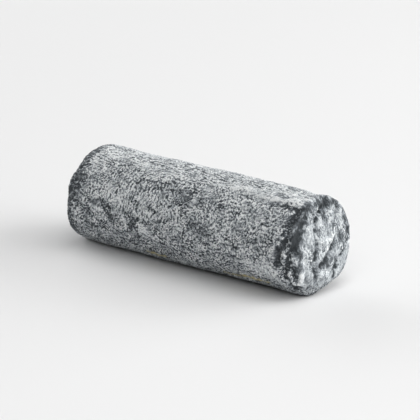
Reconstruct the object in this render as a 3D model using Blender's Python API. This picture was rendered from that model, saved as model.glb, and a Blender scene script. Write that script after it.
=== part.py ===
"""A goat cheese log with an ash-coated, wrinkled rind, lying on its side.

Metres, +Z up. +X runs along the log towards the end with the deep folds, and the log rests at z = 0.
Sizes below are in millimetres. An angle round the log starts at the top and grows towards -Y.
"""

import random
from dataclasses import dataclass

import bmesh
import bpy
import numpy as np

MM = 0.001

RADIUS = 24.0
HALF_LENGTH = 69.9
TAPER = 0.012
OVAL = 0.33
SETTLED = 1.2
AXIS_HEIGHT = RADIUS - SETTLED

# Slow swells of the side: height, waves along the length, waves round the log, phase in radians.
SWELLS = (
    (0.16, 1.0, 1, 0.4),
    (0.12, 1.7, 2, 2.1),
    (0.10, 2.6, -1, 4.0),
    (0.08, 3.7, 3, 1.2),
    (0.07, 5.3, -2, 5.1),
)
# The swells die out within about this much of the bottom, as 1 plus the cosine of the angle.
CALM_BOTTOM = 0.12

# Points round the log are four times the cells along a side of the square grid that fills each end.
END_CELLS = 24
AROUND = 4 * END_CELLS
FAR_RIM_ROWS = 3
NEAR_RIM_ROWS = 8
# The side's rows of points: share of the length where a stretch ends, and rows in that stretch.
STRETCHES = ((0.12, 4), (0.66, 11), (0.88, 8), (1.0, 10))
LEAST_RIM = 1.6
MOST_RIM = 11.0

RIND_COLOR = (0.27, 0.285, 0.30, 1.0)
RIND_ROUGHNESS = 0.92


@dataclass(frozen=True)
class End:
    """One end of the log: a slanting face with a slight bulge, and the rounding that joins it to the side."""

    way: int
    slope_y: float
    slope_z: float
    rim: float
    rim_up: float
    rim_side: float
    bulge: float


FAR_END = End(way=-1, slope_y=0.107, slope_z=-0.118, rim=4.0, rim_up=0.24, rim_side=-1.5, bulge=0.9)
NEAR_END = End(way=1, slope_y=-0.003, slope_z=-0.147, rim=5.9, rim_up=-3.9, rim_side=0.23, bulge=0.6)


@dataclass(frozen=True)
class Crease:
    """A crease that follows a path on the skin. A negative depth raises a ridge."""

    path: tuple
    width: float
    depth: float


# Creases of the folded end as (y, z) on its face, measured from the axis, then width and depth.
FACE_CREASES = (
    (((1.0, 18.5), (-2.0, 16.0), (-4.6, 14.0), (-5.6, 9.5)), 1.2, 1.3),
    (((-8.0, 18.5), (-12.5, 15.8), (-16.5, 12.0), (-18.5, 8.5), (-21.0, 4.5)), 1.7, 1.3),
    (((8.0, 1.0), (4.0, -2.0), (0.0, -5.0), (-4.5, -8.0)), 1.5, 1.5),
    (((15.5, -5.0), (10.0, -7.5), (5.5, -11.0), (4.5, -15.0)), 1.3, 1.0),
    (((-6.0, 4.0), (-7.0, -1.0), (-9.0, -5.0), (-9.3, -9.0), (-8.0, -13.5)), 1.4, 1.1),
    (((10.5, 3.0), (14.0, 1.2), (19.0, -1.8)), 2.2, 1.0),
    (((4.0, 21.0), (3.6, 16.5), (2.0, 10.5)), 1.7, 0.9),
    (((12.5, 16.5), (11.3, 12.0), (8.6, 8.5)), 1.2, 0.7),
    (((-15.0, -2.5), (-15.3, -8.0), (-14.0, -15.0)), 1.4, 0.8),
    (((19.8, 6.4), (20.2, 2.0)), 1.1, 1.0),
)
FACE_RIDGES = (
    (((-10.0, 13.0), (-10.5, 7.0), (-9.5, 2.5)), 2.0, -0.7),
    (((7.2, 18.0), (6.5, 12.0)), 1.6, -0.7),
    (((14.2, 14.5), (14.0, 7.0)), 1.7, -0.7),
    (((-3.5, 4.0), (2.0, 2.0)), 2.2, -0.8),
    (((-1.5, 13.0), (-2.5, 9.5)), 1.3, -0.6),
    (((9.0, -2.5), (4.5, -6.5)), 1.6, -0.6),
    (((-18.0, -6.0), (-17.5, -13.0)), 1.6, -0.6),
    (((-4.0, -11.5), (0.5, -13.5), (8.5, -12.5)), 2.0, -0.6),
)

# Creases round the folded end's rim as (x, angle in degrees) on the side, then width and depth.
RIM_CREASES = (
    (((65.2, 34.0), (64.2, 46.0), (64.4, 58.0), (65.6, 68.0)), 2.0, 1.1),
    (((65.0, 73.0), (61.6, 83.0), (61.0, 93.0), (63.2, 102.0)), 1.6, 1.3),
    (((67.4, 82.0), (66.8, 91.0), (67.2, 99.0)), 1.3, 1.2),
    (((65.2, 102.0), (63.8, 112.0), (64.2, 122.0), (66.0, 134.0)), 1.6, 1.3),
    (((68.6, 103.0), (67.8, 113.0), (68.2, 123.0)), 1.3, 1.1),
    (((66.0, 30.0), (66.6, 12.0), (66.2, -8.0), (66.8, -24.0)), 1.2, 0.6),
)
RIM_RIDGES = (
    (((63.9, 80.0), (64.0, 90.0), (65.0, 99.0)), 1.2, -0.7),
    (((66.6, 104.0), (66.0, 114.0), (66.4, 125.0)), 1.2, -0.7),
    (((58.5, 96.0), (59.5, 108.0), (61.0, 122.0)), 2.4, -0.4),
)

# Creases and dents of the side as (x, angle in degrees), then width and depth.
SIDE_CREASES = (
    (((22.0, 26.0), (34.0, 29.5), (46.0, 30.5), (56.0, 29.0), (63.0, 30.5)), 1.5, 0.7),
    (((30.0, 21.5), (44.0, 23.5), (60.0, 22.0)), 2.6, -0.5),
    (((-52.0, 80.0), (-46.5, 78.0)), 1.8, 0.5),
    (((-42.0, 84.0), (-38.0, 93.0)), 2.0, 0.4),
    (((-45.0, 89.0), (-43.0, 94.0)), 2.4, -0.3),
    (((-8.0, 42.0), (-2.0, 50.0), (3.0, 58.0)), 4.0, 0.35),
    (((13.0, 74.0), (20.0, 88.0)), 4.0, 0.35),
    (((-27.0, 86.0), (-22.0, 110.0)), 2.4, 0.35),
    (((-16.0, 92.0), (-13.0, 102.0)), 3.0, -0.3),
    (((44.0, 112.0), (55.0, 106.0)), 5.0, -0.3),
)

# Broad bumps and hollows of the side and the rims as (x, angle in degrees), then width and depth.
UNEVENNESS = (
    (((-66.0, 60.0), (-66.0, 67.0)), 3.6, -0.8),
    (((-65.5, 20.0), (-65.5, 26.0)), 3.0, -0.35),
    (((-57.0, -28.0), (-54.0, -22.0)), 6.0, -0.45),
    (((-67.8, 140.0), (-67.8, 148.0)), 4.0, 0.6),
    (((-68.0, 114.0), (-68.0, 124.0)), 3.5, -0.4),
    (((-67.0, 92.0), (-67.0, 86.0)), 4.0, 0.3),
    (((-22.0, 156.0), (-18.0, 160.0)), 7.0, -0.35),
    (((57.0, -30.0), (60.5, -16.0), (61.0, -4.0)), 3.2, 0.7),
    (((69.0, 220.0), (69.0, 229.0)), 3.5, -0.4),
    (((69.0, 202.0), (67.6, 184.0)), 4.0, 0.65),
    (((66.0, 170.0), (65.6, 164.0)), 3.2, -0.6),
)

# Folds of the plainer end, which start inside its rim and run towards its middle.
GATHERS = 13
GATHER_SEED = 7
GATHER_WIDTHS = (1.2, 2.0)
GATHER_DEPTHS = (0.6, 1.2)
GATHER_OUTER_SHARE = 0.97
GATHER_INNER_SHARES = (0.15, 0.6)
GATHER_TURN = 22.0


def clear_scene():
    """Removes every object, so that the model starts from an empty scene."""
    for thing in list(bpy.data.objects):
        bpy.data.objects.remove(thing, do_unlink=True)


def section_radius(x, angle):
    """Radius of the side, with its taper, its oval section and its slow swells."""
    swell = 0.0
    for height, waves, turns, phase in SWELLS:
        swell = swell + height * np.sin(np.pi * waves * x / HALF_LENGTH + turns * angle + phase)
    share = 1 - np.exp(-(1 + np.cos(angle)) / CALM_BOTTOM)
    return RADIUS * (1 - TAPER * x / HALF_LENGTH) - OVAL * np.cos(2 * angle) + share * swell


def rim_of(end, angle):
    """Rounding radius of an end's rim, radius of the face inside it, and how far out that face's edge is."""
    rim = end.rim + end.rim_up * np.cos(angle) + end.rim_side * np.sin(angle)
    rim = np.clip(rim, LEAST_RIM, MOST_RIM)
    edge = section_radius(end.way * HALF_LENGTH, angle) - rim
    return rim, edge, face_reach(end, -edge * np.sin(angle), edge * np.cos(angle))


def face_reach(end, y, z):
    """Distance of an end's face from the middle of the log."""
    return HALF_LENGTH + end.slope_y * y + end.slope_z * z


def polar(x, radius, angle):
    """Point at a radius and an angle round the axis, in millimetres from the middle of the axis."""
    x, radius, angle = np.broadcast_arrays(x, radius, angle)
    return np.stack([x, -radius * np.sin(angle), radius * np.cos(angle)], axis=-1)


def on_side(x, degrees):
    """Point of the skin at x, on the side or on the rounding towards either end."""
    angle = np.radians(degrees)
    end = NEAR_END if x > 0 else FAR_END
    rim, edge, reach = rim_of(end, angle)
    past = np.clip((abs(x) - reach + rim) / rim, 0.0, 1.0)
    if past == 0.0:
        return polar(x, section_radius(x, angle), angle)
    return polar(x, edge + rim * np.sqrt(1 - past**2), angle)


def on_face(end, y, z):
    """Point of the skin on an end's face or on the rounding outside it."""
    radius = np.hypot(y, z)
    angle = np.arctan2(-y, z)
    rim, edge, reach = rim_of(end, angle)
    if radius <= edge:
        return polar(end.way * face_reach(end, y, z), radius, angle)
    outward = np.clip((radius - edge) / rim, 0.0, 1.0)
    return polar(end.way * (reach - rim + rim * np.sqrt(1 - outward**2)), radius, angle)


def side_points(angle):
    """Rows of points along the side, from the far face's edge to the near face's edge."""
    rows = []
    far_rim, far_edge, far_reach = rim_of(FAR_END, angle)
    near_rim, near_edge, near_reach = rim_of(NEAR_END, angle)
    for turn in np.linspace(np.pi / 2, 0, FAR_RIM_ROWS, endpoint=False):
        x = -(far_reach - far_rim + far_rim * np.sin(turn))
        rows.append(polar(x, far_edge + far_rim * np.cos(turn), angle))
    shares, start = [], 0.0
    for stop, count in STRETCHES:
        shares.extend(np.linspace(start, stop, count, endpoint=False))
        start = stop
    for share in shares:
        x = -(far_reach - far_rim) * (1 - share) + (near_reach - near_rim) * share
        radius = section_radius(x, angle)
        rows.append(polar(x, radius, angle))
    for turn in np.linspace(0, np.pi / 2, NEAR_RIM_ROWS + 1):
        x = near_reach - near_rim + near_rim * np.sin(turn)
        rows.append(polar(x, near_edge + near_rim * np.cos(turn), angle))
    return np.array(rows)


def square_to_disc(up, side):
    """Moves a point of the square from -1 to 1 onto a unit disc: square cells in the middle, a round rim."""
    size = max(abs(up), abs(side))
    if size == 0.0:
        return 0.0, 0.0
    if abs(up) >= abs(side):
        angle = np.pi / 4 * side / up
        round_up, round_side = up * np.cos(angle), up * np.sin(angle)
    else:
        angle = np.pi / 4 * up / side
        round_up, round_side = side * np.sin(angle), side * np.cos(angle)
    share = size**2
    return up + (round_up - up) * share, side + (round_side - side) * share


def face_points(end):
    """Inner points of the grid on an end's face, row by row, without the ones it shares with the rim."""
    points = []
    for row in range(1, END_CELLS):
        for column in range(1, END_CELLS):
            up, side = square_to_disc(2 * row / END_CELLS - 1, 2 * column / END_CELLS - 1)
            share, angle = np.hypot(up, side), np.arctan2(side, up)
            radius = share * rim_of(end, angle)[1]
            y, z = -radius * np.sin(angle), radius * np.cos(angle)
            reach = face_reach(end, y, z) + end.bulge * (1 - share**2)
            points.append(polar(end.way * reach, radius, angle))
    return np.array(points)


def rim_index(row, column):
    """Place along the rim's ring of a grid point on the border of an end's face."""
    if row == END_CELLS:
        return column
    if column == END_CELLS:
        return 2 * END_CELLS - row
    if row == 0:
        return 3 * END_CELLS - column
    return 3 * END_CELLS + row


def face_index(row, column, first_rim, first_inner):
    """Number of a grid point on an end's face, on its border or inside."""
    if 0 < row < END_CELLS and 0 < column < END_CELLS:
        return first_inner + (row - 1) * (END_CELLS - 1) + column - 1
    return first_rim + rim_index(row, column) % AROUND


def log_faces(rows):
    """Four-sided faces of the side and of both ends, all facing out."""
    faces = []
    for row in range(rows - 1):
        for step in range(AROUND):
            following = (step + 1) % AROUND
            low, high = row * AROUND, (row + 1) * AROUND
            faces.append((low + step, low + following, high + following, high + step))
    inner = (END_CELLS - 1) ** 2
    grids = (
        (FAR_END, 0, rows * AROUND),
        (NEAR_END, (rows - 1) * AROUND, rows * AROUND + inner),
    )
    for end, first_rim, first_inner in grids:
        for row in range(END_CELLS):
            for column in range(END_CELLS):
                corners = ((row, column), (row + 1, column), (row + 1, column + 1), (row, column + 1))
                face = [face_index(*corner, first_rim, first_inner) for corner in corners]
                faces.append(tuple(face[:: end.way]))
    return faces


def gathered_creases():
    """Creases of the plainer end, spread round its rim by a rule with seeded draws."""
    draw = random.Random(GATHER_SEED)
    creases = []
    for number in range(GATHERS):
        degrees = 360 * (number + draw.uniform(-0.3, 0.3)) / GATHERS
        bend = draw.uniform(-GATHER_TURN, GATHER_TURN)
        inner = draw.uniform(*GATHER_INNER_SHARES)
        path = []
        for share in np.linspace(GATHER_OUTER_SHARE, inner, 4):
            angle = np.radians(degrees + bend * (1 - share))
            radius = share * rim_of(FAR_END, angle)[1]
            path.append(on_face(FAR_END, -radius * np.sin(angle), radius * np.cos(angle)))
        creases.append(Crease(tuple(path), draw.uniform(*GATHER_WIDTHS), draw.uniform(*GATHER_DEPTHS)))
    return creases


def all_creases():
    """Every crease and ridge of the skin, with its path as points in space."""
    creases = []
    for path, width, depth in FACE_CREASES + FACE_RIDGES:
        creases.append(Crease(tuple(on_face(NEAR_END, y, z) for y, z in path), width, depth))
    for path, width, depth in RIM_CREASES + RIM_RIDGES + SIDE_CREASES + UNEVENNESS:
        creases.append(Crease(tuple(on_side(x, degrees) for x, degrees in path), width, depth))
    return creases + gathered_creases()


def distance_to_path(points, path):
    """Shortest distance of each point from a line through the path's points."""
    nearest = np.full(len(points), np.inf)
    for start, stop in zip(path, path[1:]):
        along = stop - start
        share = np.clip((points - start) @ along / (along @ along), 0.0, 1.0)
        nearest = np.minimum(nearest, np.linalg.norm(points - start - share[:, None] * along, axis=1))
    return nearest


def skin_depth(points):
    """How far each point of the skin is pressed in by the creases."""
    depth = np.zeros(len(points))
    for crease in all_creases():
        depth += crease.depth * np.exp(-((distance_to_path(points, crease.path) / crease.width) ** 2))
    return depth


def vertex_normals(mesh):
    """Outward direction at each vertex of a mesh."""
    normals = np.empty(len(mesh.vertices) * 3, np.float32)
    mesh.vertex_normals.foreach_get("vector", normals)
    return normals.reshape(-1, 3)


def rind_material():
    """Dry, matt grey rind."""
    material = bpy.data.materials.new("ash_rind")
    material.use_nodes = True
    shader = material.node_tree.nodes["Principled BSDF"]
    shader.inputs["Base Color"].default_value = RIND_COLOR
    shader.inputs["Roughness"].default_value = RIND_ROUGHNESS
    shader.inputs["Metallic"].default_value = 0.0
    material.diffuse_color = RIND_COLOR
    return material


def split_faces(mesh):
    """Splits every four-sided face along its shorter diagonal, which follows the creases best."""
    work = bmesh.new()
    work.from_mesh(mesh)
    bmesh.ops.triangulate(work, faces=work.faces, quad_method="SHORT_EDGE")
    work.to_mesh(mesh)
    work.free()


def build_log():
    """The whole log as one closed mesh, creased, pressed flat where it rests and centred over the origin."""
    angle = -np.pi / 4 + 2 * np.pi * np.arange(AROUND) / AROUND
    side = side_points(angle)
    points = np.concatenate([side.reshape(-1, 3), face_points(FAR_END), face_points(NEAR_END)])
    mesh = bpy.data.meshes.new("cheese_log")
    mesh.from_pydata(points.tolist(), [], log_faces(len(side)))
    points = points - vertex_normals(mesh) * skin_depth(points)[:, None]
    points[:, 2] = np.maximum(points[:, 2] + AXIS_HEIGHT, 0.0)
    points[:, :2] -= (points[:, :2].min(axis=0) + points[:, :2].max(axis=0)) / 2
    mesh.vertices.foreach_set("co", (points * MM).ravel())
    split_faces(mesh)
    mesh.shade_smooth()
    mesh.materials.append(rind_material())
    log = bpy.data.objects.new("cheese_log", mesh)
    bpy.context.scene.collection.objects.link(log)
    return log


clear_scene()
build_log()
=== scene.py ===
"""A goat cheese log with an ash-coated, wrinkled rind, lying in a pale studio.

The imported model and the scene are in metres. The log's own sizes are in millimetres: x along its axis from
the middle, y across, z up from the axis, and angles round the axis from the top towards -Y.
"""

import logging
import random
from dataclasses import dataclass, field
from enum import Enum

import bpy
import numpy as np
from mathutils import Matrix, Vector


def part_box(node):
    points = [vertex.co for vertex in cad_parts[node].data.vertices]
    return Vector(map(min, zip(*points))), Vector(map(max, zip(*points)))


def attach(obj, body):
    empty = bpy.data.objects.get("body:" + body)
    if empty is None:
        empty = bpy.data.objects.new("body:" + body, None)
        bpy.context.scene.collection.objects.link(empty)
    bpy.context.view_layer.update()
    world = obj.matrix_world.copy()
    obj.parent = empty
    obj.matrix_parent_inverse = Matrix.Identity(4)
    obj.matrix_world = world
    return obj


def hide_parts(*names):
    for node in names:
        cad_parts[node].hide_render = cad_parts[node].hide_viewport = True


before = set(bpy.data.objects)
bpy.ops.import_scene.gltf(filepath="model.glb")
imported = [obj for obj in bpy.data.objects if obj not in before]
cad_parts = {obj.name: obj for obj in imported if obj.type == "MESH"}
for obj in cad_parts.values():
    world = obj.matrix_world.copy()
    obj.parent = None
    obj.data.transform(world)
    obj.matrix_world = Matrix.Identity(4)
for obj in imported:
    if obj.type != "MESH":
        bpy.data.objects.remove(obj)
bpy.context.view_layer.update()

LOG = logging.getLogger("cheese_log")
MM = 0.001
NODE = "cheese_log"
BODY = "root"


def linear(hex_color: str) -> tuple[float, float, float, float]:
    """Turns an sRGB colour into the linear values that a shader reads.

    Args:
        hex_color: Colour such as "#8E9296".

    Returns:
        Red, green, blue and alpha, each from 0 to 1.
    """
    values = [int(hex_color[start:start + 2], 16) / 255 for start in (1, 3, 5)]
    return (*(v / 12.92 if v <= 0.04045 else ((v + 0.055) / 1.055) ** 2.4 for v in values), 1.0)


def smooth_step(value: np.ndarray, low: float, high: float) -> np.ndarray:
    """Rises smoothly from 0 at low to 1 at high."""
    share = np.clip((value - low) / (high - low), 0.0, 1.0)
    return share * share * (3 - 2 * share)


@dataclass(frozen=True)
class EndShape:
    """One end of the log: a slanting face with a slight bulge, and the rounding between it and the side."""

    # 1 for the end towards +X and -1 for the other.
    way: int
    # How much further out the face is for each millimetre across and up.
    slope_y: float
    slope_z: float
    # Radius of the rounding, and how much greater it is at the top and on the -Y side.
    rim: float
    rim_up: float
    rim_side: float
    bulge: float


@dataclass(frozen=True)
class LogForm:
    """The log's main form, with the same sizes as the solid it stands for."""

    radius: float = 24.0
    half_length: float = 69.9
    taper: float = 0.012
    oval: float = 0.33
    # Depth of the flat strip under the log, and how narrow the even stretch round it is.
    settled: float = 1.2
    calm_bottom: float = 0.12
    least_rim: float = 1.6
    most_rim: float = 11.0
    # Height, waves along the length, waves round the log, phase in radians.
    swells: tuple[tuple[float, float, int, float], ...] = (
        (0.16, 1.0, 1, 0.4),
        (0.12, 1.7, 2, 2.1),
        (0.10, 2.6, -1, 4.0),
        (0.08, 3.7, 3, 1.2),
        (0.07, 5.3, -2, 5.1),
    )
    far: EndShape = EndShape(
        way=-1, slope_y=0.107, slope_z=-0.118, rim=4.0, rim_up=0.24, rim_side=-1.5, bulge=0.9)
    near: EndShape = EndShape(
        way=1, slope_y=-0.003, slope_z=-0.147, rim=5.9, rim_up=-3.9, rim_side=0.23, bulge=0.6)

    def section_radius(self, x: np.ndarray, angle: np.ndarray) -> np.ndarray:
        """Radius of the side, with its taper, its oval section and its slow swells.

        Args:
            x: Place along the axis.
            angle: Angle round the axis in radians.

        Returns:
            The radius in millimetres.
        """
        swell = 0.0
        for height, waves, turns, phase in self.swells:
            swell = swell + height * np.sin(np.pi * waves * x / self.half_length + turns * angle + phase)
        share = 1 - np.exp(-(1 + np.cos(angle)) / self.calm_bottom)
        taper = 1 - self.taper * x / self.half_length
        return self.radius * taper - self.oval * np.cos(2 * angle) + share * swell

    def face_reach(self, end: EndShape, y: np.ndarray, z: np.ndarray) -> np.ndarray:
        """Distance of an end's face from the middle of the log."""
        return self.half_length + end.slope_y * y + end.slope_z * z

    def rim_of(self, end: EndShape, angle: np.ndarray) -> tuple[np.ndarray, np.ndarray, np.ndarray]:
        """Sizes of an end's rounding.

        Args:
            end: The end.
            angle: Angle round the axis in radians.

        Returns:
            Rounding radius, radius of the face inside it, and how far out that face's edge is.
        """
        rim = end.rim + end.rim_up * np.cos(angle) + end.rim_side * np.sin(angle)
        rim = np.clip(rim, self.least_rim, self.most_rim)
        edge = self.section_radius(end.way * self.half_length, angle) - rim
        return rim, edge, self.face_reach(end, -edge * np.sin(angle), edge * np.cos(angle))

    @staticmethod
    def polar(x: np.ndarray, radius: np.ndarray, angle: np.ndarray) -> np.ndarray:
        """Points at a radius and an angle round the axis."""
        x, radius, angle = np.broadcast_arrays(x, radius, angle)
        return np.stack([x, -radius * np.sin(angle), radius * np.cos(angle)], axis=-1)

    def on_side(self, x: float, degrees: float) -> np.ndarray:
        """Point of the skin at x, on the side or on the rounding towards either end.

        Args:
            x: Place along the axis.
            degrees: Angle round the axis.

        Returns:
            The point.
        """
        angle = np.radians(degrees)
        end = self.near if x > 0 else self.far
        rim, edge, reach = self.rim_of(end, angle)
        past = np.clip((abs(x) - reach + rim) / rim, 0.0, 1.0)
        if past == 0.0:
            return self.polar(x, self.section_radius(x, angle), angle)
        return self.polar(x, edge + rim * np.sqrt(1 - past**2), angle)

    def on_face(self, end: EndShape, y: float, z: float) -> np.ndarray:
        """Point of the skin on an end's face or on the rounding outside it.

        Args:
            end: The end.
            y: Place across.
            z: Height from the axis.

        Returns:
            The point.
        """
        radius, angle = np.hypot(y, z), np.arctan2(-y, z)
        rim, edge, reach = self.rim_of(end, angle)
        if radius <= edge:
            return self.polar(end.way * self.face_reach(end, y, z), radius, angle)
        outward = np.clip((radius - edge) / rim, 0.0, 1.0)
        return self.polar(end.way * (reach - rim + rim * np.sqrt(1 - outward**2)), radius, angle)


@dataclass
class SkinGrid:
    """Points and faces of the skin: rows round the side and the rims, and a square grid in each end."""

    form: LogForm
    cells: int = 75
    rows: int = 286
    points: np.ndarray = field(init=False)
    quads: np.ndarray = field(init=False)

    def __post_init__(self) -> None:
        """Builds the points and the faces."""
        side = self.side_points()
        ends = [self.end_points(end) for end in (self.form.far, self.form.near)]
        self.points = np.concatenate([side.reshape(-1, 3), *ends])
        self.quads = self.all_quads()

    @property
    def around(self) -> int:
        """Points in one row round the log."""
        return 4 * self.cells

    def side_points(self) -> np.ndarray:
        """Rows of points, evenly spaced along the skin from the far face's edge to the near face's edge.

        Returns:
            An array of rows by points round the log by three.
        """
        form = self.form
        angle = -np.pi / 4 + 2 * np.pi * np.arange(self.around) / self.around
        far_rim, _, far_reach = form.rim_of(form.far, angle)
        near_rim, _, near_reach = form.rim_of(form.near, angle)
        far_arc, near_arc = far_rim * np.pi / 2, near_rim * np.pi / 2
        straight = far_reach - far_rim + near_reach - near_rim
        along = np.linspace(0, 1, self.rows)[:, None] * (far_arc + straight + near_arc)
        far_turn = np.clip(np.pi / 2 - along / far_rim, 0, np.pi / 2)
        near_turn = np.clip((along - far_arc - straight) / near_rim, 0, np.pi / 2)
        x = -(far_reach - far_rim) + np.clip(along - far_arc, 0, straight)
        x = x - far_rim * np.sin(far_turn) + near_rim * np.sin(near_turn)
        drop = far_rim * (1 - np.cos(far_turn)) + near_rim * (1 - np.cos(near_turn))
        return form.polar(x, form.section_radius(x, angle) - drop, angle)

    def end_points(self, end: EndShape) -> np.ndarray:
        """Inner points of an end's square grid, drawn into a disc so that its border is round.

        Args:
            end: The end.

        Returns:
            The points row by row, without the ones that the end shares with its rim.
        """
        step = 2 * np.arange(1, self.cells) / self.cells - 1
        up, side = (part.ravel() for part in np.meshgrid(step, step, indexing="ij"))
        size = np.maximum(np.abs(up), np.abs(side))
        upright = np.abs(up) >= np.abs(side)
        long = np.where(upright, up, side)
        turn = np.pi / 4 * np.where(upright, side, up) / np.where(size > 0, long, 1.0)
        round_up = np.where(upright, long * np.cos(turn), long * np.sin(turn))
        round_side = np.where(upright, long * np.sin(turn), long * np.cos(turn))
        up, side = up + (round_up - up) * size**2, side + (round_side - side) * size**2
        share, angle = np.hypot(up, side), np.arctan2(side, up)
        radius = share * self.form.rim_of(end, angle)[1]
        reach = self.form.face_reach(end, -radius * np.sin(angle), radius * np.cos(angle))
        return self.form.polar(end.way * (reach + end.bulge * (1 - share**2)), radius, angle)

    def end_index(self, ring: np.ndarray, first_inner: int) -> np.ndarray:
        """Numbers of the points in an end's square grid, whose border is the rim's ring.

        Args:
            ring: Numbers of the ring's points.
            first_inner: Number of the first inner point.

        Returns:
            A square array of point numbers.
        """
        cells, steps = self.cells, np.arange(self.cells)
        index = np.empty((cells + 1, cells + 1), int)
        index[cells, steps] = ring[:cells]
        index[cells - steps, cells] = ring[cells:2 * cells]
        index[0, cells - steps] = ring[2 * cells:3 * cells]
        index[steps, 0] = ring[3 * cells:]
        index[1:cells, 1:cells] = first_inner + np.arange((cells - 1) ** 2).reshape(cells - 1, cells - 1)
        return index

    @staticmethod
    def quads_of(index: np.ndarray) -> np.ndarray:
        """Faces of a grid of point numbers."""
        corners = (index[:-1, :-1], index[1:, :-1], index[1:, 1:], index[:-1, 1:])
        return np.stack([corner.ravel() for corner in corners], axis=1)

    def all_quads(self) -> np.ndarray:
        """Faces of the side and of both ends, all facing out.

        Returns:
            Four point numbers for each face.
        """
        side = np.arange(self.rows * self.around).reshape(self.rows, self.around)
        first_inner = self.rows * self.around
        inner = (self.cells - 1) ** 2
        far = self.quads_of(self.end_index(side[0], first_inner))
        near = self.quads_of(self.end_index(side[-1], first_inner + inner))
        tube = self.quads_of(np.hstack([side, side[:, :1]]))
        return np.concatenate([tube[:, ::-1], far[:, ::-1], near])

    def normals(self, points: np.ndarray) -> np.ndarray:
        """Outward direction at each point.

        Args:
            points: The grid's points, which may have been moved.

        Returns:
            One unit vector for each point.
        """
        a, b, c, d = (points[self.quads[:, corner]] for corner in range(4))
        facing = np.cross(c - a, d - b)
        total = np.zeros_like(points)
        for axis in range(3):
            for corner in range(4):
                total[:, axis] += np.bincount(self.quads[:, corner], facing[:, axis], len(points))
        return total / np.linalg.norm(total, axis=1, keepdims=True)


class Place(Enum):
    """Where the numbers of a mark's path are measured."""

    SIDE = "x and angle in degrees on the side"
    FACE = "y and z on the folded end's face"
    FAR_FACE = "y and z on the plainer end's face"


Path = tuple[tuple[float, float], ...]


@dataclass(frozen=True)
class Mark:
    """A fold, ridge, stain, bloom, painted shade or painted highlight that follows a path on the skin."""

    place: Place
    path: Path
    width: float
    depth: float = 0.0
    tone: float = 0.0

    def points(self, form: LogForm) -> list[np.ndarray]:
        """The path's points on the skin.

        Args:
            form: The log's form.

        Returns:
            A point in millimetres for each pair of the path.
        """
        if self.place is Place.SIDE:
            return [form.on_side(*pair) for pair in self.path]
        end = form.near if self.place is Place.FACE else form.far
        return [form.on_face(end, *pair) for pair in self.path]

    def strength(self, form: LogForm, points: np.ndarray, stray: np.ndarray, edge: float) -> np.ndarray:
        """How much of the mark each point of the skin gets.

        Args:
            form: The log's form.
            points: Points of the skin.
            stray: Uneven share that widens or narrows the mark at each point, about 1.
            edge: Firmness of the mark's edge, 2 for a soft one and more for a firm one.

        Returns:
            1 on the path, falling to 0 beside it.
        """
        path = self.points(form)
        nearest = np.full(len(points), np.inf)
        for start, stop in zip(path, path[1:]):
            run = stop - start
            share = np.clip((points - start) @ run / (run @ run), 0.0, 1.0)
            nearest = np.minimum(nearest, np.linalg.norm(points - start - share[:, None] * run, axis=1))
        return np.exp(-((nearest / (self.width * stray)) ** edge))


def marks(place: Place, rows: tuple[tuple[Path, float, float, float], ...]) -> list[Mark]:
    """Marks of one place.

    Args:
        place: Where their paths are measured.
        rows: For each mark its path, width, depth and tone.

    Returns:
        The marks.
    """
    return [Mark(place, path, width, depth, tone) for path, width, depth, tone in rows]


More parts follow.
